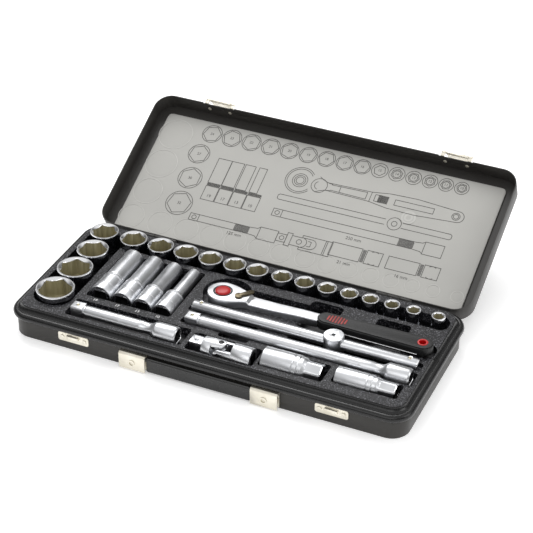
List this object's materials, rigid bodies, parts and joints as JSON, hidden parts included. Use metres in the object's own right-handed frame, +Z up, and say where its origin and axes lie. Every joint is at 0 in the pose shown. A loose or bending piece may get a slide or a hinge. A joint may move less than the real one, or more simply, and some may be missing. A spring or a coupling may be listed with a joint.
{
  "type": "socket wrench set in case",
  "caption": "Hinged sheet-metal case, lid open, with a moulded tray holding a ratchet, extension bars, sliding T-bar, universal joint and hexagon sockets.",
  "frame": {"origin": "centre of the case's flat underside, lid left out", "axes": "+X along the case's length to the right, +Y back to the hinge, +Z up; the lid stands open at rest"},
  "size_m": [0.4522, 0.3847, 0.1157],
  "materials": {
    "case_enamel": "satin brown-black baked enamel",
    "tray_plastic": "grained, light speckle",
    "hardware": "cream nickel plate",
    "handle_black": "semi-gloss black",
    "foam": "grey foam sheet with printed outlines",
    "chrome": "satin chrome plate",
    "dark_steel": "blackened steel",
    "bearing_steel": "polished steel",
    "rubber_black": "matte rubber",
    "red_plastic": "red plastic",
    "grip_black": "matte black grip",
    "lever_nickel": "dark nickel"
  },
  "bodies": {
    "case": {"base_shell": "case_enamel", "tray_insert": "tray_plastic", "latch_keepers": "hardware", "handle_brackets": "hardware", "hinge_base_leaves": "hardware", "hinge_pins": "hardware", "base_rivets": "hardware"},
    "handle": {"carry_handle": "handle_black"},
    "lid": {"lid_shell": "case_enamel", "lid_liner": "foam", "hinge_lid_leaves": "hardware", "lid_rivets": "hardware", "latch_mounts": "hardware"},
    "hasp_left": {"latch_hasp_left": "hardware"},
    "hasp_right": {"latch_hasp_right": "hardware"},
    "socket_10": {"socket_10": "chrome"},
    "socket_11": {"socket_11": "chrome"},
    "socket_12": {"socket_12": "chrome"},
    "socket_13": {"socket_13": "chrome"},
    "socket_14": {"socket_14": "chrome"},
    "socket_15": {"socket_15": "chrome"},
    "socket_16": {"socket_16": "chrome"},
    "socket_17": {"socket_17": "chrome"},
    "socket_18": {"socket_18": "chrome"},
    "socket_19": {"socket_19": "chrome"},
    "socket_20": {"socket_20": "chrome"},
    "socket_21": {"socket_21": "chrome"},
    "socket_22": {"socket_22": "chrome"},
    "socket_23": {"socket_23": "chrome"},
    "socket_24": {"socket_24": "chrome"},
    "socket_27": {"socket_27": "chrome"},
    "socket_30": {"socket_30": "chrome"},
    "socket_32": {"socket_32": "chrome"},
    "deep_19": {"deep_socket_19": "chrome"},
    "deep_17": {"deep_socket_17": "chrome"},
    "deep_13": {"deep_socket_13": "chrome"},
    "deep_10": {"deep_socket_10": "chrome"},
    "spark_16": {"spark_socket_16": "chrome", "spark_insert_16": "rubber_black"},
    "spark_21": {"spark_socket_21": "chrome", "spark_insert_21": "rubber_black"},
    "extension_125": {"extension_125": "chrome", "extension_125_ball": "bearing_steel"},
    "extension_250": {"extension_250": "chrome", "extension_250_ball": "bearing_steel"},
    "t_bar": {"t_bar_rod": "chrome", "t_bar_balls": "bearing_steel"},
    "t_bar_slider": {"t_bar_head": "chrome"},
    "universal_cross": {"joint_cross": "chrome", "joint_pins": "bearing_steel"},
    "universal_drive": {"joint_drive_yoke": "chrome"},
    "universal_socket": {"joint_socket_yoke": "chrome"},
    "ratchet": {"ratchet_body": "chrome", "ratchet_cover": "chrome", "ratchet_pawl": "chrome", "ratchet_grip": "grip_black", "ratchet_inlays": "red_plastic"},
    "ratchet_anvil": {"ratchet_gear": "dark_steel"},
    "ratchet_push": {"ratchet_button": "red_plastic"},
    "ratchet_switch": {"ratchet_lever": "lever_nickel"}
  },
  "joints": [
    {"name": "lid_hinge", "type": "hinge", "parent": "case", "child": "lid", "pos_m": [0, 0.0955, 0.03], "axis": [-1, 0, 0], "range_deg": [-154, 0]},
    {"name": "handle_swing", "type": "hinge", "parent": "case", "child": "handle", "pos_m": [0, -0.0962, 0.0166], "axis": [-1, 0, 0], "range_deg": [0, 80]},
    {"name": "hasp_left_fold", "type": "hinge", "parent": "lid", "child": "hasp_left", "pos_m": [-0.146, 0.2703, 0.11392], "axis": [-1, 0, 0], "range_deg": [-168, 0]},
    {"name": "hasp_right_fold", "type": "hinge", "parent": "lid", "child": "hasp_right", "pos_m": [0.146, 0.2703, 0.11392], "axis": [-1, 0, 0], "range_deg": [-168, 0]},
    {"name": "socket_10_lift", "type": "slide", "parent": "case", "child": "socket_10", "axis": [0, 0, 1], "range_m": [0, 0.06]},
    {"name": "socket_11_lift", "type": "slide", "parent": "case", "child": "socket_11", "axis": [0, 0, 1], "range_m": [0, 0.06]},
    {"name": "socket_12_lift", "type": "slide", "parent": "case", "child": "socket_12", "axis": [0, 0, 1], "range_m": [0, 0.06]},
    {"name": "socket_13_lift", "type": "slide", "parent": "case", "child": "socket_13", "axis": [0, 0, 1], "range_m": [0, 0.06]},
    {"name": "socket_14_lift", "type": "slide", "parent": "case", "child": "socket_14", "axis": [0, 0, 1], "range_m": [0, 0.06]},
    {"name": "socket_15_lift", "type": "slide", "parent": "case", "child": "socket_15", "axis": [0, 0, 1], "range_m": [0, 0.06]},
    {"name": "socket_16_lift", "type": "slide", "parent": "case", "child": "socket_16", "axis": [0, 0, 1], "range_m": [0, 0.06]},
    {"name": "socket_17_lift", "type": "slide", "parent": "case", "child": "socket_17", "axis": [0, 0, 1], "range_m": [0, 0.06]},
    {"name": "socket_18_lift", "type": "slide", "parent": "case", "child": "socket_18", "axis": [0, 0, 1], "range_m": [0, 0.06]},
    {"name": "socket_19_lift", "type": "slide", "parent": "case", "child": "socket_19", "axis": [0, 0, 1], "range_m": [0, 0.06]},
    {"name": "socket_20_lift", "type": "slide", "parent": "case", "child": "socket_20", "axis": [0, 0, 1], "range_m": [0, 0.06]},
    {"name": "socket_21_lift", "type": "slide", "parent": "case", "child": "socket_21", "axis": [0, 0, 1], "range_m": [0, 0.06]},
    {"name": "socket_22_lift", "type": "slide", "parent": "case", "child": "socket_22", "axis": [0, 0, 1], "range_m": [0, 0.06]},
    {"name": "socket_23_lift", "type": "slide", "parent": "case", "child": "socket_23", "axis": [0, 0, 1], "range_m": [0, 0.06]},
    {"name": "socket_24_lift", "type": "slide", "parent": "case", "child": "socket_24", "axis": [0, 0, 1], "range_m": [0, 0.06]},
    {"name": "socket_27_lift", "type": "slide", "parent": "case", "child": "socket_27", "axis": [0, 0, 1], "range_m": [0, 0.06]},
    {"name": "socket_30_lift", "type": "slide", "parent": "case", "child": "socket_30", "axis": [0, 0, 1], "range_m": [0, 0.06]},
    {"name": "socket_32_lift", "type": "slide", "parent": "case", "child": "socket_32", "axis": [0, 0, 1], "range_m": [0, 0.06]},
    {"name": "deep_19_lift", "type": "slide", "parent": "case", "child": "deep_19", "axis": [0, 0, 1], "range_m": [0, 0.06]},
    {"name": "deep_17_lift", "type": "slide", "parent": "case", "child": "deep_17", "axis": [0, 0, 1], "range_m": [0, 0.06]},
    {"name": "deep_13_lift", "type": "slide", "parent": "case", "child": "deep_13", "axis": [0, 0, 1], "range_m": [0, 0.06]},
    {"name": "deep_10_lift", "type": "slide", "parent": "case", "child": "deep_10", "axis": [0, 0, 1], "range_m": [0, 0.06]},
    {"name": "spark_16_lift", "type": "slide", "parent": "case", "child": "spark_16", "axis": [0, 0, 1], "range_m": [0, 0.06]},
    {"name": "spark_21_lift", "type": "slide", "parent": "case", "child": "spark_21", "axis": [0, 0, 1], "range_m": [0, 0.06]},
    {"name": "extension_125_lift", "type": "slide", "parent": "case", "child": "extension_125", "axis": [0, 0, 1], "range_m": [0, 0.06]},
    {"name": "extension_250_lift", "type": "slide", "parent": "case", "child": "extension_250", "axis": [0, 0, 1], "range_m": [0, 0.06]},
    {"name": "t_bar_lift", "type": "slide", "parent": "case", "child": "t_bar", "axis": [0, 0, 1], "range_m": [0, 0.06]},
    {"name": "t_bar_head_slide", "type": "slide", "parent": "t_bar", "child": "t_bar_slider", "axis": [1, 0, 0], "range_m": [-0.034, 0.054]},
    {"name": "universal_lift", "type": "slide", "parent": "case", "child": "universal_cross", "axis": [0, 0, 1], "range_m": [0, 0.06]},
    {"name": "universal_drive_pivot", "type": "hinge", "parent": "universal_cross", "child": "universal_drive", "pos_m": [0.0155, -0.0715, 0.0345], "axis": [0, 0, 1], "range_deg": [-18, 5]},
    {"name": "universal_socket_pivot", "type": "hinge", "parent": "universal_cross", "child": "universal_socket", "pos_m": [0.0155, -0.0715, 0.0345], "axis": [0, -1, 0], "range_deg": [0, 40]},
    {"name": "ratchet_lift", "type": "slide", "parent": "case", "child": "ratchet", "axis": [0, 0, 1], "range_m": [0, 0.06]},
    {"name": "ratchet_spin", "type": "hinge", "parent": "ratchet", "child": "ratchet_anvil", "pos_m": [-0.0225, 0.0125, 0.036], "axis": [0, 0, 1], "continuous": true},
    {"name": "ratchet_button_press", "type": "slide", "parent": "ratchet_anvil", "child": "ratchet_push", "axis": [0, 0, -1], "range_m": [0, 0.0025], "stiffness_N_per_m": 400},
    {"name": "ratchet_lever_flip", "type": "hinge", "parent": "ratchet", "child": "ratchet_switch", "pos_m": [-0.003, 0.01, 0.044], "axis": [0, 0, 1], "range_deg": [-55, 0]}
  ]
}
